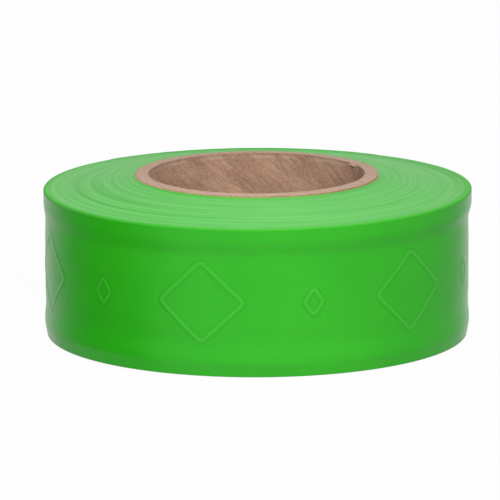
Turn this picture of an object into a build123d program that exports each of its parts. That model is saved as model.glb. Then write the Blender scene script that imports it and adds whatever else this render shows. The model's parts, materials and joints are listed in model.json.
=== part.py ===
from build123d import *
from math import cos, degrees, pi, radians, sin, sqrt, tan
import os

# A roll of marking film: one long strip of soft vinyl film wound on a spiral-wound paperboard core.
# Millimetres, +Z up along the core's axis. The origin is the centre of the roll's base,
# on the surface that the roll lies on.

# The film
film_width = 30.16        # slit width, 1 3/16 in
film_gauge = 0.0430       # thickness of one lap
film_length = 91440.0     # 300 ft

# The core: a liner ply, body plies and an outer ply, each a strip of board wound as a helix
core_bore = 44.45         # 1 3/4 in, the mandrel that the tube was wound on
core_length = 30.16       # cut to the film's width
liner_gauge = 0.33
body_ply_gauge = 0.50
body_ply_count = 4
outer_ply_gauge = 0.33
ply_helix_angle = 38.0    # between a strip's edge and the tube's circumference, degrees
ply_seam_gap = 0.35       # between a strip's own butted edges
liner_seam_angle = 27.0   # where the liner's seam meets the top rim, degrees from +X
ply_seam_step = 137.0     # from each ply's seam to the next ply's, degrees
glue_line = 0.02          # paste between one ply and the next, and under the starter tape
seam_overcut = 1.0        # how far a seam's cutter runs past the ply that it cuts

# The strip of double-sided tape that holds the film's first lap on the core
starter_width = 12.0
starter_length = 25.0
starter_gauge = 0.09
starter_angle = -15.0     # middle of the strip, degrees from +X
first_lap_clearance = 0.10  # between the strip and the film's first lap

# How the laps lie: level in the outermost ones, then shifted up more and more towards the core
level_laps = 1.6          # radial depth of the outer laps that lie level
lap_rise = 2.3            # how far the innermost lap is shifted up
core_proud = 0.4          # how far the core stands above the innermost lap

# The outer wall's profile, from the middle of the wall
top_flare = 0.50          # how far the top edge of the film stands out
flare_height = 5.8        # height of film below the top edge that flares out
lip_height = 2.6          # straight stretch of the flare, just below the top edge
bottom_bead = 0.12        # how far the film bulges out just above its lower edge
bead_height = 3.2         # where the bulge is widest
bead_fade = 7.0           # where the bulge has run out into the wall
bottom_tuck = 0.55        # how far the lower edge is drawn in

# The loose end of the film, which peels off the roll. It is made of short spans, hinged in a chain.
end_root_angle = 62.0     # where the loose end begins, degrees from +X
end_span_count = 4
end_span_angle = 18.0     # arc of each span, degrees
end_clearance = 0.12      # between the loose end and the lap under it
span_clearance = 0.05     # between one span and the next

# What follows from those sizes
core_bore_radius = core_bore / 2
ply_gauges = [liner_gauge] + [body_ply_gauge] * body_ply_count + [outer_ply_gauge]
core_radius = core_bore_radius + sum(ply_gauges) + glue_line * (len(ply_gauges) - 1)
starter_radius = core_radius + glue_line
first_lap_radius = starter_radius + starter_gauge + first_lap_clearance
wall_radius = sqrt(first_lap_radius**2 + film_length * film_gauge / pi)
core_bottom = lap_rise + core_proud
helix_lead = 2 * pi * core_bore_radius * tan(radians(ply_helix_angle))
level_radius = wall_radius - bottom_tuck - level_laps


def radial_plane(angle):
    """A plane through the axis: X runs outwards at that angle, and Y runs up."""
    a = radians(angle)
    return Plane(origin=(0, 0, 0), x_dir=(cos(a), sin(a), 0), z_dir=(sin(a), -cos(a), 0))


def wall_points(stand_off):
    """The outer wall's profile from the lower edge to the top edge, moved outwards by stand_off."""
    profile = [
        (-bottom_tuck, 0),
        (bottom_bead, bead_height),
        (0, bead_fade),
        (0, film_width - flare_height),
        (top_flare, film_width - lip_height),
        (top_flare, film_width),
    ]
    return [(wall_radius + stand_off + out, height) for out, height in profile]


def wall_curve(stand_off):
    """Draws the wall's profile: a curve round the bead, a straight wall, a curve out to the lip."""
    lower, bead, fade, straight, lip, upper = wall_points(stand_off)
    Spline(lower, bead, fade, tangents=[(1, 2), (0, 1)])
    Line(fade, straight)
    Spline(straight, lip, tangents=[(0, 1), (0, 1)])
    Line(lip, upper)


def make_ply(inner_radius, gauge, seam_angle):
    """One ply of the core: a strip wound once round, with a helical seam between its edges."""
    outer_radius = inner_radius + gauge
    seam_twist = degrees(2 * pi * core_length / helix_lead) / core_length
    cutter_bottom = core_bottom - seam_overcut
    cutter_length = core_length + 2 * seam_overcut
    with BuildSketch(Plane.XY.offset(cutter_bottom)) as seam_sketch:
        with Locations((inner_radius + gauge / 2, 0)):
            Rectangle(gauge + 2 * seam_overcut, ply_seam_gap)
    seam = Solid.extrude_linear_with_rotation(
        seam_sketch.sketch.face(),
        (0, 0, cutter_bottom),
        (0, 0, cutter_length),
        seam_twist * cutter_length,
    )
    start_angle = seam_angle - seam_twist * (cutter_length - seam_overcut)
    with BuildPart() as ply:
        with BuildSketch(Plane.XY.offset(core_bottom)):
            Circle(outer_radius)
            Circle(inner_radius, mode=Mode.SUBTRACT)
        extrude(amount=core_length)
        add(seam.rotate(Axis.Z, start_angle), mode=Mode.SUBTRACT)
    return ply.part


def make_core():
    """All the core's plies, from the liner outwards."""
    names = ["core_liner_ply"]
    names += [f"core_body_ply_{i + 1}" for i in range(body_ply_count)]
    names += ["core_outer_ply"]
    plies = []
    radius = core_bore_radius
    for i, (name, gauge) in enumerate(zip(names, ply_gauges)):
        ply = make_ply(radius, gauge, liner_seam_angle + i * ply_seam_step)
        ply.label = name
        plies.append(ply)
        radius += gauge + glue_line
    return plies


def make_starter_tape():
    """The strip of double-sided tape on the core, under the film's first lap."""
    arc = degrees(starter_length / starter_radius)
    with BuildPart() as starter:
        with BuildSketch(radial_plane(starter_angle - arc / 2)):
            with Locations((starter_radius, core_bottom + core_length / 2)):
                Rectangle(starter_gauge, starter_width, align=(Align.MIN, Align.CENTER))
        revolve(axis=Axis.Z, revolution_arc=arc)
    starter.part.label = "starter_tape"
    return starter.part


def make_wound_film():
    """All the laps together: level outside, and shifted up towards the core."""
    points = wall_points(0)
    with BuildPart() as wound:
        with BuildSketch(Plane.XZ):
            with BuildLine():
                wall_curve(0)
                Polyline(
                    points[-1],
                    (level_radius, film_width),
                    (first_lap_radius, film_width + lap_rise),
                    (first_lap_radius, lap_rise),
                    (level_radius, 0),
                    points[0],
                )
            make_face()
        revolve(axis=Axis.Z)
    wound.part.label = "wound_film"
    return wound.part


def make_film_end():
    """The spans of the loose end, from the roll to the free edge."""
    trim = degrees(span_clearance / wall_radius)
    near = wall_points(end_clearance)
    far = wall_points(end_clearance + film_gauge)
    spans = []
    for i in range(end_span_count):
        start = end_root_angle + i * end_span_angle
        with BuildPart() as span:
            with BuildSketch(radial_plane(start + trim / 2)):
                with BuildLine():
                    wall_curve(end_clearance)
                    wall_curve(end_clearance + film_gauge)
                    Line(near[0], far[0])
                    Line(near[-1], far[-1])
                make_face()
            revolve(axis=Axis.Z, revolution_arc=end_span_angle - trim)
        span.part.label = f"film_end_{i + 1}"
        spans.append(span.part)
    return spans


os.makedirs("parts", exist_ok=True)
for piece in [*make_core(), make_starter_tape(), make_wound_film(), *make_film_end()]:
    export_step(piece, f"parts/{piece.label}.step")

hinge_radius = wall_radius + top_flare + end_clearance + film_gauge
print("outer wall radius", round(wall_radius, 3), "core radius", round(core_radius, 3))
print("laps", round((wall_radius - first_lap_radius) / film_gauge))
for i in range(end_span_count):
    a = radians(end_root_angle + i * end_span_angle)
    print("hinge", i + 1, round(hinge_radius * cos(a), 4), round(hinge_radius * sin(a), 4))
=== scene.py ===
"""A roll of green marking film on a spiral-wound paperboard core, lying on a pale floor. Metres."""
import json
import math

import bpy
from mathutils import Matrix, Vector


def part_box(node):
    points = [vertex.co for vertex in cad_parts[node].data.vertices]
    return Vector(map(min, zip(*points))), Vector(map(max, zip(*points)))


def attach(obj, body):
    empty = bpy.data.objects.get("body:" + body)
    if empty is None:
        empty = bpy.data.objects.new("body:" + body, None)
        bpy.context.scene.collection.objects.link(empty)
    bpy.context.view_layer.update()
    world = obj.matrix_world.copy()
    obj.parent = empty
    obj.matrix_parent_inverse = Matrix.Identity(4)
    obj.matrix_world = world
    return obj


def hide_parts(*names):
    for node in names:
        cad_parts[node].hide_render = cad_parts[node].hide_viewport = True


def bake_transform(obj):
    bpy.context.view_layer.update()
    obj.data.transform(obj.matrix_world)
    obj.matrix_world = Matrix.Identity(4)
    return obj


# ---- The frame ---------------------------------------------------------------------------------
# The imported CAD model: the core's axis is +Z, the roll's base lies on z = 0, and the loose end of
# the film is on the +Y side. Every place and size below that CAD knows is read from its nodes.
mm = 0.001
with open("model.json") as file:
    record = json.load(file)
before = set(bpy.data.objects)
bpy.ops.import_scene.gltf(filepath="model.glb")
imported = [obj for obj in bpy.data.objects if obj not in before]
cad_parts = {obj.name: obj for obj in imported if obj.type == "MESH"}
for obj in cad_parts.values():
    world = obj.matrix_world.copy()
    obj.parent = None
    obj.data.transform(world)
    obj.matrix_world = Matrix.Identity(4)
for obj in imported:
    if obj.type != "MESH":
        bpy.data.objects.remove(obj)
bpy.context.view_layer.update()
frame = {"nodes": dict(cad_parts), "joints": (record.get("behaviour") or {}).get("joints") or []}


# ---- The core ----------------------------------------------------------------------------------
# A tube of six plies of board, each a strip wound as a helix and pasted to the ply inside it. The
# liner is smooth kraft paper. A knife cuts the tube to length, which leaves the plies' pale edges
# bare and a little furred, and turns a burr into the bore.
class Wire:
    """A value or a vector in a node tree. Arithmetic on it adds Math nodes to that tree."""

    def __init__(self, tree, socket):
        self.tree = tree
        self.socket = socket

    def output(self, name):
        return Wire(self.tree, self.socket.node.outputs[name])

    def math(self, operation, *values):
        sockets = dict(enumerate(values))
        return self.tree.add("ShaderNodeMath", {"operation": operation}, sockets)

    def __add__(self, other):
        return self.math("ADD", self, other)

    def __sub__(self, other):
        return self.math("SUBTRACT", self, other)

    def __rsub__(self, other):
        return self.math("SUBTRACT", other, self)

    def __mul__(self, other):
        return self.math("MULTIPLY", self, other)

    def __truediv__(self, other):
        return self.math("DIVIDE", self, other)

    def __pow__(self, other):
        return self.math("POWER", self, other)

    def __mod__(self, other):
        return self.math("FLOORED_MODULO", self, other)

    __radd__ = __add__
    __rmul__ = __mul__

    def sine(self):
        return self.math("SINE", self)

    def cosine(self):
        return self.math("COSINE", self)

    def size(self):
        return self.math("ABSOLUTE", self)

    def at_least(self, limit):
        return self.math("MAXIMUM", self, limit)

    def at_most(self, limit):
        return self.math("MINIMUM", self, limit)

    def above(self, limit):
        return self.math("GREATER_THAN", self, limit)

    def rise(self, low, high):
        """A smooth step from 0 at low to 1 at high."""
        sockets = {"Value": self, "From Min": low, "From Max": high}
        return self.tree.add("ShaderNodeMapRange", {"interpolation_type": "SMOOTHSTEP"}, sockets)

    def band(self, start, full, fading, end):
        """1 from full to fading, easing to 0 at start on one side and at end on the other."""
        return self.rise(start, full) * (1 - self.rise(fading, end))


class Tree:
    """A node tree that is being built, for a material, for the world or for geometry."""

    def __init__(self, data):
        self.data = data

    def add(self, kind, settings={}, sockets={}, output=0):
        """Adds a node: its settings first, then the values or wires of its sockets."""
        node = self.data.nodes.new(kind)
        for name, value in settings.items():
            setattr(node, name, value)
        for key, value in sockets.items():
            for item in value if isinstance(value, list) else [value]:
                if isinstance(item, Wire):
                    self.data.links.new(item.socket, node.inputs[key])
                else:
                    node.inputs[key].default_value = item
        return Wire(self, node.outputs[output])

    def vector(self, x, y, z):
        return self.add("ShaderNodeCombineXYZ", {}, {"X": x, "Y": y, "Z": z})

    def at_angle(self, radius, angle, height):
        """The point at this radius and angle round the axis, and at this height."""
        return self.vector(radius * angle.cosine(), radius * angle.sine(), height)

    def parts(self, vector):
        x = self.add("ShaderNodeSeparateXYZ", {}, {"Vector": vector})
        return x, x.output("Y"), x.output("Z")

    def noise(self, place, scale, detail=2.0, roughness=0.5):
        sockets = {"Vector": place, "Scale": scale, "Detail": detail, "Roughness": roughness}
        return self.add("ShaderNodeTexNoise", {}, sockets)

    def rings(self, radius, cosine, sine, across, along, detail):
        """Noise in rings round the axis, with its scales across them and along them."""
        return self.noise(self.vector(radius * across, cosine * along, sine * along), 1.0, detail)


class Recipe(Tree):
    """A Geometry Nodes tree with named inputs for its sizes."""

    sharp_corner = 0.6      # the least turn between two faces, in radians, that looks sharp

    def __init__(self, name, sizes):
        super().__init__(bpy.data.node_groups.new(name, "GeometryNodeTree"))
        for size, value in sizes.items():
            kind = "NodeSocketInt" if isinstance(value, int) else "NodeSocketFloat"
            socket = self.data.interface.new_socket(size, in_out="INPUT", socket_type=kind)
            socket.default_value = value
        self.data.interface.new_socket("Piece", in_out="OUTPUT", socket_type="NodeSocketGeometry")
        given = self.data.nodes.new("NodeGroupInput")
        self.sizes = {size: Wire(self, given.outputs[size]) for size in sizes}

    def cube(self, columns, layers=2, rows=2):
        """A cube of mesh, 1 along each side, with this many points along X, Y and Z."""
        return self.add("GeometryNodeMeshCube", {}, {
            "Size": (1.0, 1.0, 1.0), "Vertices X": columns, "Vertices Y": layers,
            "Vertices Z": rows,
        })

    def place(self):
        return self.parts(self.add("GeometryNodeInputPosition"))

    def move(self, shape, position):
        sockets = {"Geometry": shape, "Position": position}
        return self.add("GeometryNodeSetPosition", {}, sockets)

    def store(self, shape, name, value, kind, domain="POINT"):
        """Keeps a value on the mesh as an attribute of this name."""
        return self.add("GeometryNodeStoreNamedAttribute", {"data_type": kind, "domain": domain},
                        {"Geometry": shape, "Name": name, "Value": value})

    def finish(self, shape, side, edge=None, on_edge=None):
        """Smooth faces, sharp corners, and the edge material where on_edge says so."""
        is_sharp = self.add("GeometryNodeInputMeshEdgeAngle").above(self.sharp_corner)
        shape = self.add("GeometryNodeSetShadeSmooth", {"domain": "EDGE"},
                         {0: shape, "Selection": is_sharp, "Shade Smooth": False})
        shape = self.add("GeometryNodeRealizeInstances", {}, {"Geometry": shape})
        shape = self.add("GeometryNodeSetMaterial", {}, {"Geometry": shape, "Material": side})
        if edge:
            shape = self.add("GeometryNodeSetMaterial", {},
                             {"Geometry": shape, "Selection": on_edge, "Material": edge})
        end = self.data.nodes.new("NodeGroupOutput")
        self.data.links.new(shape.socket, end.inputs["Piece"])


def make_piece(name, recipe, sizes):
    """Runs a recipe with these sizes, and keeps what it makes as a plain mesh."""
    piece = bpy.data.objects.new(name, bpy.data.meshes.new(name))
    bpy.context.scene.collection.objects.link(piece)
    modifier = piece.modifiers.new(name, "NODES")
    modifier.node_group = recipe.data
    for socket in recipe.data.interface.items_tree:
        if socket.in_out == "INPUT" and socket.name in sizes:
            modifier[socket.identifier] = sizes[socket.name]
    bpy.context.view_layer.update()
    seen = piece.evaluated_get(bpy.context.evaluated_depsgraph_get())
    mesh = bpy.data.meshes.new_from_object(seen)
    piece.modifiers.clear()
    piece.data = mesh
    mesh.name = name
    return piece


class Finish(Tree):
    """A material that is being built round its Principled BSDF."""

    def __init__(self, name, constants):
        self.material = bpy.data.materials.new(name)
        self.material.use_nodes = True
        super().__init__(self.material.node_tree)
        self.shader = self.data.nodes["Principled BSDF"]
        for socket, value in constants.items():
            self.shader.inputs[socket].default_value = value

    def coordinates(self):
        return self.add("ShaderNodeTexCoord", output="Object")

    def polar(self):
        """The radius, and the cosine and the sine of the angle round the axis."""
        x, y, z = self.parts(self.coordinates())
        radius = (x * x + y * y) ** 0.5
        return radius, x / radius, y / radius

    def feed(self, socket, wire):
        self.data.links.new(wire.socket, self.shader.inputs[socket])

    def relief(self, height, depth):
        self.feed("Normal", self.add("ShaderNodeBump", {}, {"Height": height, "Distance": depth}))

    def blend(self, share, low, high):
        """From the colour low to the colour high, as share goes from 0 to 1."""
        low, high = [(*end, 1.0) if isinstance(end, tuple) else end for end in (low, high)]
        sockets = {0: share, 6: low, 7: high}
        return self.add("ShaderNodeMix", {"data_type": "RGBA"}, sockets, output=2)


liner_low, liner_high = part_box("core_liner_ply")
core_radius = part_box("core_outer_ply")[1].x
core_overcut = 0.2 * mm     # how much longer than in the CAD the core is cut, at its top
core_length = liner_high.z - liner_low.z + core_overcut
ply_helix_angle = math.radians(38.0)
ply_lead = math.tau * liner_high.x * math.tan(ply_helix_angle)
liner_gauge = 0.33 * mm
glue_line = 0.02 * mm
bore_radius = liner_high.x - liner_gauge
rim_lift = 0.12 * mm        # how much higher the rim's inner edge stands than its outer edge
furred_length = 0.9 * mm    # how far from its cut ends the tube is furred
flap_length = 3.6 * mm      # how far from the liner's seam its torn flap at the rim reaches
scuffed_paper = (0.58, 0.45, 0.35)


def kraft_finish(name, pale, dark):
    """Kraft paper: long fibres and wrinkles that run along the strip, and a paler scuffed band."""
    kraft = Finish(name, {"Specular IOR Level": 0.25})
    strip = kraft.add("ShaderNodeAttribute", {"attribute_name": "strip"}, output="Vector")
    along, across, below_rim = kraft.parts(strip)

    def marks(scale_along, scale_across, layer, detail, roughness=0.5):
        place = kraft.vector(along * scale_along, across * scale_across, layer)
        return kraft.noise(place, 1.0, detail, roughness)

    wrinkles = marks(170, 1150, 0.0, 2.0)
    clouds = marks(110, 190, 3.0, 3.0, 0.6)
    fibres = marks(1300, 2900, 7.0, 2.0, 0.7)
    tone = wrinkles * 0.24 + clouds * 0.36 + fibres * 0.40
    scuffed = below_rim.band(0.3 * mm, 0.6 * mm, 0.7 * mm, 1.2 * mm)
    worn = scuffed * clouds.rise(0.35, 0.6) * 0.55
    colour = kraft.blend(tone.rise(0.38, 0.62), dark, pale)
    kraft.feed("Base Color", kraft.blend(worn, colour, scuffed_paper))
    kraft.feed("Roughness", 0.95 - fibres * 0.25)
    kraft.relief(wrinkles * 0.6 + fibres * 0.4, 0.20 * mm)
    return kraft.material


def cut_board_finish(name, pale, dark):
    """The knife-cut edge of a ply: layers of fibre along the ply, and loose tufts."""
    board = Finish(name, {"Specular IOR Level": 0.2})
    layers = board.rings(*board.polar(), across=9000, along=9, detail=2.0)
    tufts = board.noise(board.coordinates(), 1500.0, 3.0, 0.6)
    tone = (layers * 0.55 + tufts * 0.45).rise(0.3, 0.7)
    board.feed("Base Color", board.blend(tone, dark, pale))
    board.feed("Roughness", 1.0 - tufts * 0.15)
    board.relief(layers * 0.5 + tufts * 0.5, 0.15 * mm)
    return board.material


def ply_recipe(face, cut_edge):
    """One ply: a box of mesh wrapped round the bore, from one side of its seam to the other."""
    ply = Recipe("wound_ply", {
        "Inner Radius": 0.0, "Gauge": 0.0, "Bottom": 0.0, "Length": 0.0, "Seam Angle": 0.0,
        "Seam Gap": 0.0, "Lead": 1.0, "Burr": 0.0, "Flap": 0.0, "Fray": 0.0, "Columns": 200,
        "Layers": 4, "Rows": 20, "Seed": 0.0,
    })
    size = ply.sizes
    box = ply.cube(size["Columns"], size["Layers"], size["Rows"])
    x, y, z = ply.place()
    outwards, up = 0.5 - y, z + 0.5
    below_rim = (1 - up) * size["Length"]
    above_end = up * size["Length"]
    near_rim = 1 - below_rim.rise(0.0, furred_length)
    near_end = 1 - above_end.rise(0.0, furred_length)
    near_cut = near_rim + near_end
    radius = size["Inner Radius"] + size["Gauge"] * outwards
    seam = size["Seam Gap"] / radius
    twist = (up - 1) * size["Length"] / size["Lead"] * math.tau
    angle = size["Seam Angle"] + twist + seam * 0.5 + (x + 0.5) * (math.tau - seam)
    arc = angle * size["Inner Radius"]
    along = arc * math.cos(ply_helix_angle) + above_end * math.sin(ply_helix_angle)
    across = above_end * math.cos(ply_helix_angle) - arc * math.sin(ply_helix_angle)
    box = ply.store(box, "strip", ply.vector(along, across, below_rim), "FLOAT_VECTOR")
    ragged = ply.noise(ply.at_angle(11, angle, size["Seed"] + z * 9), 1.0, 4.0, 0.6) - 0.5
    fur_place = ply.at_angle(11, angle, size["Seed"] + outwards * 2 + 50)
    furred = ply.noise(fur_place, 2.0, 4.0, 0.7) - 0.5
    from_seam = (0.5 - x) * math.tau * radius
    flap = near_rim * (1 - from_seam.rise(2.2 * mm, flap_length)) * (1 - outwards)
    burr = size["Burr"] * near_rim ** 3.0 * (0.6 + ragged * 2.0) + size["Flap"] * flap ** 2.0
    frayed_radius = radius - burr + near_cut * ragged * size["Fray"] * (outwards - 0.5) * 0.8
    lift = (core_radius - radius) / (core_radius - bore_radius) * near_rim * rim_lift
    lift = lift - size["Flap"] * 0.4 * flap
    height = size["Bottom"] + above_end + near_cut * furred * size["Fray"] + lift
    shape = ply.move(box, ply.at_angle(frayed_radius, angle, height))
    facing_up = ply.parts(ply.add("GeometryNodeInputNormal"))[2].size()
    ply.finish(shape, face, cut_edge, facing_up.above(0.6))
    return ply


kraft_face = kraft_finish("kraft_liner", pale=(0.54, 0.345, 0.24), dark=(0.33, 0.195, 0.127))
liner_edge = cut_board_finish("liner_edge", pale=(0.60, 0.425, 0.325), dark=(0.40, 0.280, 0.215))
board_edge = cut_board_finish("board_edge", pale=(0.63, 0.435, 0.340), dark=(0.45, 0.305, 0.235))
wrap_edge = cut_board_finish("wrap_edge", pale=(0.60, 0.36, 0.27), dark=(0.48, 0.26, 0.19))
core_recipes = {
    "core_liner_ply": ply_recipe(kraft_face, liner_edge),
    "core_outer_ply": ply_recipe(kraft_face, wrap_edge),
}
body_recipe = ply_recipe(kraft_face, board_edge)
liner_seam_angle = math.radians(29.5)
ply_seam_step = math.radians(137.0)
ply_names = ["core_liner_ply", *[f"core_body_ply_{i}" for i in range(1, 5)], "core_outer_ply"]
ply_radius = bore_radius
for i, name in enumerate(ply_names):
    outer_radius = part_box(name)[1].x
    is_liner = name == "core_liner_ply"
    ply = make_piece(name + "_wound", core_recipes.get(name, body_recipe), {
        "Inner Radius": ply_radius, "Gauge": outer_radius - ply_radius, "Bottom": liner_low.z,
        "Length": core_length, "Seam Angle": liner_seam_angle + i * ply_seam_step,
        "Seam Gap": 0.10 * mm, "Lead": ply_lead, "Burr": 0.05 * mm if is_liner else 0.0,
        "Flap": 0.62 * mm if is_liner else 0.0, "Fray": 0.16 * mm, "Seed": 3.7 * i,
        "Columns": 420 if is_liner else 300, "Rows": 70 if is_liner else 24,
    })
    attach(ply, "roll")
    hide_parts(name)
    ply_radius = outer_radius + glue_line

# ---- The starter tape --------------------------------------------------------------------------
# A short strip of double-sided tape that holds the film's first lap on the core. It is shut in
# between the two, so the CAD solid stays and only gets its finish: crepe paper under clear glue.
tape_low, tape_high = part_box("starter_tape")
tape_angle = math.radians(-15.0)
tape_half_angle = math.radians(30.0)
tape_room = 0.18 * mm       # how much further out the film's first lap is where it covers the tape
starter = Finish("starter_tape", {"Coat Weight": 0.4, "Coat Roughness": 0.2})
creases = starter.noise(starter.coordinates(), 1400.0)
starter.feed("Base Color", starter.blend(creases, (0.62, 0.55, 0.33), (0.80, 0.73, 0.48)))
starter.feed("Roughness", 0.35 + creases * 0.3)
starter.relief(creases, 0.03 * mm)
frame["nodes"]["starter_tape"].data.materials.clear()
frame["nodes"]["starter_tape"].data.materials.append(starter.material)

# ---- The wound film ----------------------------------------------------------------------------
# 424 laps of vinyl film 0.043 mm thick. The wall is the last lap, which flares at its top edge,
# swells a little near the bottom and is drawn in below that. The two end faces are the laps' edges:
# level outside, and shifted up towards the core, with ridges where a few laps wandered together.
wound_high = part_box("wound_film")[1]
film_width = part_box("film_end_1")[1].z
wall_radius = wound_high.x - 0.33 * mm
first_lap_radius = core_radius + 0.03 * mm
top_flare = 0.42 * mm
flare_sway = 0.16 * mm      # how much more it flares on the +X side than the mean
waist_depth = 0.09 * mm     # just under the flare
bead_height = 0.15 * mm     # near the bottom
hollow_depth = 0.09 * mm    # just above the bead
bottom_tuck = 0.32 * mm
wall_sway = 0.08 * mm
edge_round = 0.22 * mm
rim_drop = 0.45 * mm        # how far down the rounding of the wall's top edge reaches
rim_inset = 0.65 * mm       # how far in it reaches
inset_sway = 0.15 * mm      # how much further in on the +X side than the mean
rim_swell = 0.32 * mm       # how much higher the wall's top edge is on the +X and -X sides
lap_rise = wound_high.z - film_width + core_overcut
level_depth = 2.15 * mm     # how far in from the wall the laps are level
broad_wander, fine_wander = 0.24 * mm, 0.16 * mm
core_hug = 0.22 * mm        # how much further up the first laps are
hug_sway = 0.12 * mm        # how much less on the +X side than the mean
film_green, film_green_pale = (0.017, 0.460, 0.003), (0.023, 0.485, 0.005)
edge_green, edge_milky = (0.034, 0.400, 0.020), (0.090, 0.494, 0.070)
edge_outermost = (0.036, 0.445, 0.014)
edge_on_core = (0.240, 0.460, 0.080)


def wall_reach(tree, height, angle):
    """The wall's radius at a height and an angle."""
    flare = height.rise(24.5 * mm, 27.8 * mm) * (top_flare + angle.cosine() * flare_sway)
    waist = height.band(20.0 * mm, 24.2 * mm, 24.2 * mm, 26.4 * mm) * waist_depth
    bead = height.band(1.2 * mm, 3.0 * mm, 3.2 * mm, 6.2 * mm) * bead_height
    hollow = height.band(4.6 * mm, 7.2 * mm, 7.4 * mm, 10.5 * mm) * hollow_depth
    tuck = (1 - height / (2.8 * mm)).at_least(0.0) ** 2.0 * bottom_tuck
    sway = (tree.noise(tree.at_angle(3.0, angle, height * 70), 1.0, 1.5) - 0.5) * wall_sway
    return tree.sizes["Wall Radius"] + flare - waist + bead - hollow - tuck + sway


def lap_shift(film, radius, angle):
    """How far up the lap at this radius has moved."""
    wall, first_lap = film.sizes["Wall Radius"], film.sizes["First Lap Radius"]
    level = wall - level_depth
    slope = (level - radius) / (level - first_lap)
    cosine, sine = angle.cosine(), angle.sine()
    broad = film.rings(radius, cosine, sine, across=620, along=0.6, detail=1.0)
    fine = film.rings(radius, cosine, sine, across=1800, along=1.1, detail=1.0)
    wander = (broad - 0.5) * broad_wander + (fine - 0.5) * fine_wander
    inside = 1 - radius.rise(wall - 1.0 * mm, wall - 0.1 * mm)
    on_core = 1 - radius.rise(first_lap, first_lap + 0.7 * mm)
    hug = on_core * (core_hug - cosine * hug_sway)
    right, front = cosine, 0 - sine
    swell = right ** 2.0 * (rim_swell + right * 0.08 * mm)
    swell = swell + front * 0.04 * mm + right.at_least(0.0) * front.at_least(0.0) * 0.14 * mm
    swell = swell * radius.rise(level - 1.5 * mm, wall)
    return slope.at_least(0.0) * lap_rise + wander * inside * (1 - on_core * 0.7) + hug + swell


def wrapped_sheet(recipe, rows, shape, is_cut=False):
    """A sheet of mesh wrapped once round the axis. shape gives its radius and height."""
    grid = recipe.add("GeometryNodeMeshGrid", {}, {
        "Size X": 1.0, "Size Y": 1.0, "Vertices X": recipe.sizes["Columns"] + 1,
        "Vertices Y": rows + 1,
    })
    grid = recipe.store(grid, "cut", is_cut, "BOOLEAN", "FACE")
    x, y, z = recipe.place()
    angle = (x + 0.5) * math.tau
    radius, height = shape(angle, y + 0.5)
    return recipe.move(grid, recipe.at_angle(radius, angle, height))


def wound_film_recipe(face, edges):
    """The laps as one closed ring: wall, rounded rims, two end faces and the bore."""
    film = Recipe("wound_film", {
        "Wall Radius": wall_radius, "First Lap Radius": first_lap_radius,
        "Film Width": film_width, "Rim Drop": rim_drop, "Edge Round": edge_round, "Columns": 360,
        "Wall Rows": 60, "Rim Rows": 7, "Top Rows": 128, "Bore Rows": 12, "Bottom Rows": 44,
        "Foot Rows": 3,
    })
    size = film.sizes
    first_lap, width, foot = size["First Lap Radius"], size["Film Width"], size["Edge Round"]

    def rim_top(angle):
        return width + lap_shift(film, wall_reach(film, width, angle), angle)

    def shoulder(angle):
        """The height and radius where the wall ends and its top edge starts to round off."""
        height = rim_top(angle) - size["Rim Drop"]
        return height, wall_reach(film, height, angle)

    def inset(angle):
        return rim_inset + angle.cosine() * inset_sway

    def wall(angle, up):
        height = foot + (rim_top(angle) - size["Rim Drop"] - foot) * up
        return wall_reach(film, height, angle), height

    def top_rim(angle, up):
        turn = up * math.pi / 2
        top, reach = shoulder(angle)
        return reach - inset(angle) * (1 - turn.cosine()), top + turn.sine() * size["Rim Drop"]

    def top_face(angle, up):
        reach = shoulder(angle)[1] - inset(angle)
        radius = reach + (first_lap - reach) * up
        blend = up.rise(0.0, 0.02)
        face_height = width + lap_shift(film, radius, angle)
        return radius, rim_top(angle) * (1 - blend) + face_height * blend

    def bore(angle, up):
        from_tape = ((angle - tape_angle + math.pi) % math.tau - math.pi).size()
        height = lap_shift(film, first_lap, angle) + width * (1 - up)
        beside = 1 - from_tape.rise(tape_half_angle, tape_half_angle + 0.1)
        above = 1 - height.rise(tape_high.z + 0.5 * mm, tape_high.z + 2.5 * mm)
        below = height.rise(tape_low.z - 2.5 * mm, tape_low.z - 0.5 * mm)
        return first_lap + beside * above * below * tape_room, height.at_least(0.0)

    def bottom_face(angle, up):
        reach = wall_reach(film, foot, angle) - foot
        radius = first_lap + (reach - first_lap) * up
        shift = lap_shift(film, radius, angle)
        return radius, shift.at_least(0.0) * (1 - up.rise(0.90, 1.0))

    def bottom_rim(angle, up):
        turn = (1 - up) * math.pi / 2
        reach = wall_reach(film, foot, angle)
        return reach - foot + turn.cosine() * foot, foot - turn.sine() * foot

    sheets = [
        wrapped_sheet(film, size["Wall Rows"], wall),
        wrapped_sheet(film, size["Rim Rows"], top_rim, is_cut=True),
        wrapped_sheet(film, size["Top Rows"], top_face, is_cut=True),
        wrapped_sheet(film, size["Bore Rows"], bore),
        wrapped_sheet(film, size["Bottom Rows"], bottom_face, is_cut=True),
        wrapped_sheet(film, size["Foot Rows"], bottom_rim),
    ]
    ring = film.add("GeometryNodeJoinGeometry", {}, {0: sheets})
    ring = film.add("GeometryNodeMergeByDistance", {}, {"Geometry": ring, "Distance": 0.001 * mm})
    cut = film.add("GeometryNodeInputNamedAttribute", {"data_type": "BOOLEAN"}, {"Name": "cut"})
    film.finish(ring, face, edges, cut)
    return film


def film_finish(name):
    """Soft vinyl film, bright green through and through, with the gloss of a plasticised skin."""
    film = Finish(name, {"IOR": 1.47})
    clouds = film.noise(film.coordinates(), 60.0)
    grain = film.noise(film.coordinates(), 900.0)
    film.feed("Base Color", film.blend(clouds.rise(0.3, 0.7), film_green, film_green_pale))
    film.feed("Roughness", 0.20 + clouds * 0.06 + grain * 0.05)
    film.relief(grain, 0.004 * mm)
    return film.material


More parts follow.
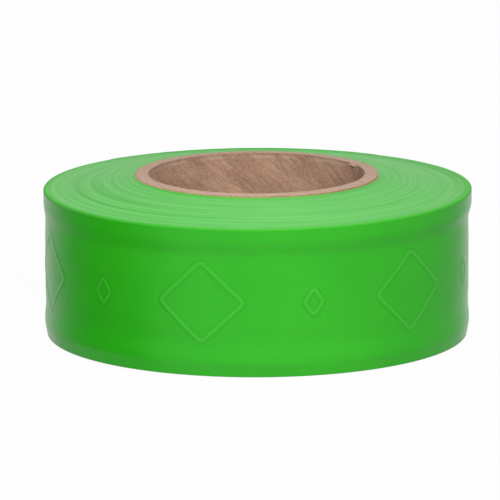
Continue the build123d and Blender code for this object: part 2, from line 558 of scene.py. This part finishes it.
def lap_edge_finish(name):
    """The laps' cut edges: milky where they let light through, in rings that drift with them."""
    edge = Finish(name, {"IOR": 1.5, "Specular IOR Level": 0.4})
    radius, cosine, sine = edge.polar()
    broad = edge.rings(radius, cosine, sine, across=520, along=0.6, detail=1.0)
    middle = edge.rings(radius, cosine, sine, across=1500, along=0.9, detail=1.0)
    fine = edge.rings(radius, cosine, sine, across=5200, along=1.6, detail=2.0)
    tone = (broad * 0.30 + middle * 0.40 + fine * 0.30).rise(0.34, 0.64)
    outer = radius.rise(wall_radius - 1.6 * mm, wall_radius - 0.2 * mm)
    on_core = 1 - radius.rise(first_lap_radius, first_lap_radius + 0.4 * mm)
    laps = edge.blend(outer * 0.7, edge.blend(tone, edge_green, edge_milky), edge_outermost)
    edge.feed("Base Color", edge.blend(on_core, laps, edge_on_core))
    edge.feed("Roughness", 0.42 + fine * 0.14 + outer * 0.12)
    edge.relief(middle * 0.4 + fine * 0.6, 0.05 * mm)
    return edge.material


film_face = film_finish("film_face")
lap_edges = lap_edge_finish("lap_edges")
wound_film = make_piece("wound_film_laps", wound_film_recipe(film_face, lap_edges), {})
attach(wound_film, "roll")
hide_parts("wound_film")

# ---- The loose end -----------------------------------------------------------------------------
# The last 60 mm of the film lie on the wall and aren't stuck down. The end is cut square and curls
# off a little. It peels at its root and bends along its length, and it is made as five lengths of
# film.
# The first four stay where they are made, and the last rides on the last body.
film_gauge = 0.043 * mm
end_clearance = 0.07 * mm
end_curl = 0.14 * mm
root_dip = 0.01 * mm        # how far inside the wall the outer face starts, at the root
cut_slant = 0.5 * mm
cut_nicks = 0.35 * mm
edge_wave = 0.06 * mm
ripple_height = 0.05 * mm
hinge_points = [joint["pos_m"] for joint in frame["joints"]]
hinge_angles = [math.atan2(y, x) for x, y, z in hinge_points]
hinge_step = hinge_angles[1] - hinge_angles[0]
root_angle = hinge_angles[0] - math.radians(8.0)
free_angle = hinge_angles[-1] + hinge_step
length_ends = [root_angle, *[angle + hinge_step / 2 for angle in hinge_angles], free_angle]


def loose_lift(angle):
    """How far the loose end's outer face stands off the wall."""
    leaving = angle.rise(root_angle, hinge_angles[0]) * (end_clearance + film_gauge + root_dip)
    return leaving - root_dip + angle.rise(free_angle - 0.13, free_angle + 0.01) * end_curl


def loose_end_recipe(face):
    """A length of the loose end between two angles: a thin closed sheet that follows the wall."""
    length = Recipe("loose_end", {
        "Wall Radius": wall_radius, "Film Width": film_width, "Gauge": film_gauge,
        "First Angle": 0.0, "Last Angle": 1.0, "Columns": 34, "Rows": 120,
    })
    size = length.sizes
    box = length.cube(size["Columns"], rows=size["Rows"])
    x, y, z = length.place()
    inwards, up = y + 0.5, z + 0.5
    angle = size["First Angle"] + (size["Last Angle"] - size["First Angle"]) * (x + 0.5)
    height = size["Film Width"] * up

    def wave(place, detail, roughness=0.5):
        return length.noise(place, 1.0, detail, roughness) - 0.5

    nicks = wave(length.vector(height * 900, 0.0, 0.0), 3.0, 0.6) * cut_nicks
    cut = angle.rise(free_angle - 0.10, free_angle) * (nicks + (up - 0.5) * cut_slant)
    edge = wave(length.vector(angle * 40, up, 0.0), 2.0) * edge_wave
    ripple = wave(length.vector(angle * 6, height * 90, 5.0), 1.0) * ripple_height
    ripple = ripple * angle.rise(hinge_angles[0], hinge_angles[1])
    reach = wall_reach(length, height, angle) + loose_lift(angle) + ripple
    reach = reach - inwards * size["Gauge"]
    top = height.at_least(0.0) + edge.at_least(0.0)
    placed = length.at_angle(reach, angle + cut / size["Wall Radius"], top)
    length.finish(length.move(box, placed), face)
    return length


end_bodies = ["roll", *[joint["child"] for joint in frame["joints"]]]


def join_to_bodies(piece, i):
    """Bakes a piece of the loose end's length i in place, or, for the last length, makes it ride on
    the last body.
    """
    if i < len(hinge_angles):
        before, after = (-1, 9) if i == 0 else (-9, 9)
        end_bodies[i + 1]
        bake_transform(piece)
    else:
        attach(piece, end_bodies[-1])


loose_recipe = loose_end_recipe(film_face)
for i, (first, last) in enumerate(zip(length_ends, length_ends[1:])):
    columns = 34 if i < len(hinge_angles) else 30
    piece = make_piece(f"film_end_length_{i + 1}", loose_recipe,
                       {"First Angle": first, "Last Angle": last, "Columns": columns})
    join_to_bodies(piece, i)
    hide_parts(f"film_end_{min(i + 1, 4)}")

# ---- The embossing -----------------------------------------------------------------------------
# A roller pressed raised outlines into the film while it was warm: a row of large lozenges along
# its middle, with a small one between each two. The wall shows the last lap's, and the loose end
# has its own.
emboss_step = math.radians(60.0)
wall_large_angle = math.radians(15.0)
end_large_angle = math.radians(98.0)
ridge_foot = 0.006 * mm     # how far off the film the edges of a ridge are
ridge_squareness = 8.0      # the power of its arch, which is flatter on top for a higher one
ridge_belly = 0.02 * mm     # how far below its edges its underside reaches


def embossing_recipe(material, on_loose_end):
    """Lozenge outlines in a row, bent onto the wall, or onto one length of the loose end."""
    row = Recipe("embossed_lozenges", {
        "Wall Radius": wall_radius, "Film Width": film_width, "Pitch": emboss_step * wall_radius,
        "Large Start": 0.0, "Large Count": 6, "Small Start": 0.0, "Small Count": 6,
        "Large Width": 17.6 * mm, "Large Height": 16.4 * mm, "Small Width": 3.8 * mm,
        "Small Height": 5.6 * mm, "Corner": 0.9 * mm, "Ridge Width": 1.7 * mm,
        "Ridge Height": 0.09 * mm, "First Angle": 0.0, "Last Angle": 1.0,
    })
    size = row.sizes
    circle = row.add("GeometryNodeCurvePrimitiveCircle", {}, {"Resolution": 24, "Radius": 1.0})
    x, y, z = row.place()
    arch = y.at_least(0.0) ** ridge_squareness * size["Ridge Height"] + ridge_foot
    arch = arch + y.at_most(0.0) * ridge_belly
    profile = row.move(circle, row.vector(x * size["Ridge Width"] / -2, 0 - arch, 0.0))

    def lift(angle):
        return loose_lift(angle) if on_loose_end else 0.0

    def ridges(kind, corner):
        half = size[kind + " Height"] / 2
        kite = row.add("GeometryNodeCurvePrimitiveQuadrilateral", {"mode": "KITE"},
                       {"Width": size[kind + " Width"], "Bottom Height": half, "Top Height": half})
        rounded = row.add("GeometryNodeFilletCurve", {"mode": "POLY"},
                          {"Curve": kite, "Radius": corner, "Count": 5})
        outline = row.add("GeometryNodeResampleCurve", {"mode": "LENGTH"},
                          {"Curve": rounded, "Length": 0.45 * mm})
        start = size[kind + " Start"] * size["Wall Radius"]
        line = row.add("GeometryNodeMeshLine", {}, {
            "Count": size[kind + " Count"], "Offset": row.vector(size["Pitch"], 0.0, 0.0),
            "Start Location": row.vector(start, size["Film Width"] * 0.5, 0.0),
        })
        outlines = row.add("GeometryNodeInstanceOnPoints", {},
                           {"Points": line, "Instance": outline})
        outlines = row.add("GeometryNodeRealizeInstances", {}, {"Geometry": outlines})
        outlines = row.add("GeometryNodeSetCurveNormal", {"mode": "Z_UP"}, {"Curve": outlines})
        return row.add("GeometryNodeCurveToMesh", {}, {"Curve": outlines, "Profile Curve": profile})

    flat = row.add("GeometryNodeJoinGeometry", {}, {
        0: [ridges("Large", size["Corner"]), ridges("Small", size["Corner"] * 0.5)],
    })
    x, y, z = row.place()
    angle = x / size["Wall Radius"]
    reach = wall_reach(row, y, angle) + lift(angle) + z
    bent = row.move(flat, row.at_angle(reach, angle, y))
    if on_loose_end:
        x, y, z = row.place()
        angle = size["First Angle"] + (size["Last Angle"] - size["First Angle"]) * (x + 0.5)
        reach = size["Wall Radius"] * (1 - y * 0.2)
        height = size["Film Width"] * (z * 1.2 + 0.5)
        wedge = row.move(row.cube(8), row.at_angle(reach, angle, height))
        bent = row.add("GeometryNodeMeshBoolean", {"operation": "INTERSECT"}, {1: [bent, wedge]})
    x, y, z = row.place()
    angle = x.math("ARCTAN2", y, x)
    proud = (x * x + y * y) ** 0.5 - wall_reach(row, z, angle) - lift(angle) - ridge_foot
    crest = (proud / size["Ridge Height"]).at_least(0.0) ** (1 / ridge_squareness)
    row.finish(row.store(bent, "crest", crest, "FLOAT"), material)
    return row


embossed = Finish("embossed_film", {"IOR": 1.47})
grain = embossed.noise(embossed.coordinates(), 900.0)
crest = embossed.add("ShaderNodeAttribute", {"attribute_name": "crest"}, output="Fac")
# Painted shade and painted highlight: the ridges' flanks are painted darker and their crests paler,
# in place of the darker and the white surroundings that they mirror.
flank_painted_shade = embossed.blend(crest.rise(0.0, 0.7), (0.020, 0.472, 0.004), (0.012, 0.440, 0.002))
pale = embossed.blend(grain, (0.036, 0.505, 0.014), (0.044, 0.515, 0.018))
embossed.feed("Base Color", embossed.blend(crest.rise(0.84, 0.97), flank_painted_shade, pale))
embossed.feed("Roughness", 0.22 + grain * 0.08)
wall_ridges = make_piece("wall_embossing", embossing_recipe(embossed.material, False), {
    "Large Start": wall_large_angle, "Small Start": wall_large_angle + emboss_step / 2,
})
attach(wall_ridges, "roll")
end_recipe = embossing_recipe(embossed.material, True)
for i, (first, last) in enumerate(zip(length_ends, length_ends[1:])):
    ridges = make_piece(f"film_end_embossing_{i + 1}", end_recipe, {
        "Large Start": end_large_angle, "Large Count": 1,
        "Small Start": end_large_angle - emboss_step / 2, "Small Count": 2,
        "First Angle": first, "Last Angle": last,
    })
    join_to_bodies(ridges, i)

# ---- Floor, light and camera -------------------------------------------------------------------
# A pale floor that shows white to the camera and is mirrored white in front and greyer at the
# sides. A soft lamp in front, weaker ones round it, one high behind that the top face mirrors, and
# a long lens a little above the roll.
floor_half = 3.0
floor_grey = (0.22, 0.22, 0.22, 1.0)
floor_glow = 1.09
floor_glow_share = 0.88     # of what the camera sees of the floor; the rest is lit, and shadowed
floor_mirrored = 0.88       # how bright the floor behind the roll is in a reflection
foot_mirrored = 0.60        # the least that the floor beside the roll's foot is
world_light = 0.28
lamp_distance = 1.5
lamp_width = 0.35


def mirrored_white(turn, side, behind):
    """How bright the surroundings look in a reflection. They turn from behind the roll, at 0, to
    the front, at pi, and are darker at the sides, most on the left, where side is below 0."""
    def past(low, high):
        return turn.rise(math.radians(low), math.radians(high))

    left = behind - past(2, 20) * 0.08 - past(22, 78) * (behind - 0.19) + past(98, 145) * 0.89
    right = behind - past(8, 50) * (behind - 0.46) + past(45, 160) * 0.54
    return left + side.above(0.0) * (right - left)


floor_mesh = bpy.data.meshes.new("floor")
floor_corners = [(-floor_half, -floor_half, 0), (floor_half, -floor_half, 0),
                 (floor_half, floor_half, 0), (-floor_half, floor_half, 0)]
floor_mesh.from_pydata(floor_corners, [], [(0, 1, 2, 3)])
floor = bpy.data.objects.new("floor", floor_mesh)
bpy.context.scene.collection.objects.link(floor)
floor_finish = Finish("floor_white", {"Roughness": 0.9, "Base Color": floor_grey})
rays = floor_finish.add("ShaderNodeLightPath", output="Is Camera Ray")
mirrored = rays.output("Is Glossy Ray")
x, y, z = floor_finish.parts(floor_finish.coordinates())
from_axis = (x * x + y * y) ** 0.5
around = x.math("ARCTAN2", x.size(), y)
# The wall mirrors rays down to the floor. turn is the direction of one that lands here.
share = (from_axis ** -1.0 * wall_radius).at_most(1.0)
guess = around - share * (math.pi - around)
turn = around - x.math("ARCSINE", share * (guess * 0.5).cosine())
foot = 1 - from_axis.rise(wall_radius + 2.5 * mm, wall_radius + 11 * mm)
reflected = mirrored_white(turn, x, floor_mirrored).at_least(foot * foot_mirrored)
brightness = 1 - mirrored * (1 - reflected)
glow = floor_finish.add("ShaderNodeEmission", {},
                        {"Color": (1, 1, 1, 1), "Strength": brightness * floor_glow})
shown = rays.math("MAXIMUM", rays, mirrored) * floor_glow_share
mixed = floor_finish.add("ShaderNodeMixShader", {}, {
    0: shown, 1: Wire(floor_finish, floor_finish.shader.outputs[0]), 2: glow,
})
floor_finish.data.links.new(mixed.socket, floor_finish.data.nodes["Material Output"].inputs[0])
floor_mesh.materials.append(floor_finish.material)

world = bpy.data.worlds.new("studio")
bpy.context.scene.world = world
world.use_nodes = True
sky = Tree(world.node_tree)
rays = sky.add("ShaderNodeLightPath", output="Is Camera Ray")
mirrored = rays.output("Is Glossy Ray")
x, y, z = sky.parts(sky.add("ShaderNodeTexCoord", output="Generated"))
seen = rays.math("MAXIMUM", rays, rays.output("Is Transmission Ray"))
turn = x.math("ARCTAN2", x.size(), y)
strength = world_light + seen * (1 - world_light)
strength = strength + mirrored * (mirrored_white(turn, x, 1.0) - world_light)
background = world.node_tree.nodes["Background"]
background.inputs["Color"].default_value = (1, 1, 1, 1)
world.node_tree.links.new(strength.socket, background.inputs["Strength"])


def lamp(name, azimuth, elevation, level, is_mirrored=False):
    """A square soft lamp. Azimuth 0 is in front, and 90 is on the +X side. A white face turned
    to the lamp gets this level of light, where 1 shows it white."""
    turn, tilt = math.radians(azimuth), math.radians(elevation)
    light = bpy.data.lights.new(name, "AREA")
    light.size, light.energy = lamp_width, level * (math.pi * lamp_distance) ** 2
    item = bpy.data.objects.new(name, light)
    item.location = (lamp_distance * math.sin(turn) * math.cos(tilt),
                     -lamp_distance * math.cos(turn) * math.cos(tilt),
                     lamp_distance * math.sin(tilt))
    item.rotation_euler = (math.pi / 2 - tilt, 0, turn)
    item.visible_glossy = is_mirrored
    bpy.context.scene.collection.objects.link(item)


lamp("front", 5, 25, 0.50)
lamp("left", -50, 30, 0.18)
lamp("right", 50, 30, 0.21)
lamp("overhead", 0, 80, 0.06)
lamp("back", 180, 10, 0.32)
lamp("high_back", 172, 50, 0.08, is_mirrored=True)

# A wide, soft-edged spot from above that brightens the front of the top face.
spot_height, spot_reach, spot_level = 0.8, 0.075, 0.44
spot = bpy.data.lights.new("front_edge", "SPOT")
spot.energy = spot_level * (2 * math.pi * spot_height) ** 2
spot.spot_size = 2 * math.atan(spot_reach / spot_height)
spot.spot_blend = 1.0
spot.shadow_soft_size = 0.05
spot_lamp = bpy.data.objects.new("front_edge", spot)
spot_lamp.location = (0.0, -0.062, spot_height)
spot_lamp.visible_glossy = False
bpy.context.scene.collection.objects.link(spot_lamp)

camera_data = bpy.data.cameras.new("camera")
camera = bpy.data.objects.new("camera", camera_data)
bpy.context.scene.collection.objects.link(camera)
bpy.context.scene.camera = camera
camera_data.sensor_width = 36.0
camera_data.lens = 383.2
camera_data.clip_end = 20.0
view_height = math.radians(11.65)
view_roll = math.radians(-0.166)
view_distance = 1.0975
aim_x, aim_up = -1.42 * mm, 1.86 * mm
camera.rotation_euler = (math.pi / 2 - view_height, 0, 0)
camera.rotation_euler.rotate_axis("Z", view_roll)
camera.location = (
    aim_x,
    -view_distance * math.cos(view_height) + aim_up * math.sin(view_height),
    film_width / 2 + view_distance * math.sin(view_height) + aim_up * math.cos(view_height),
)
bpy.context.scene.view_settings.view_transform = "Standard"
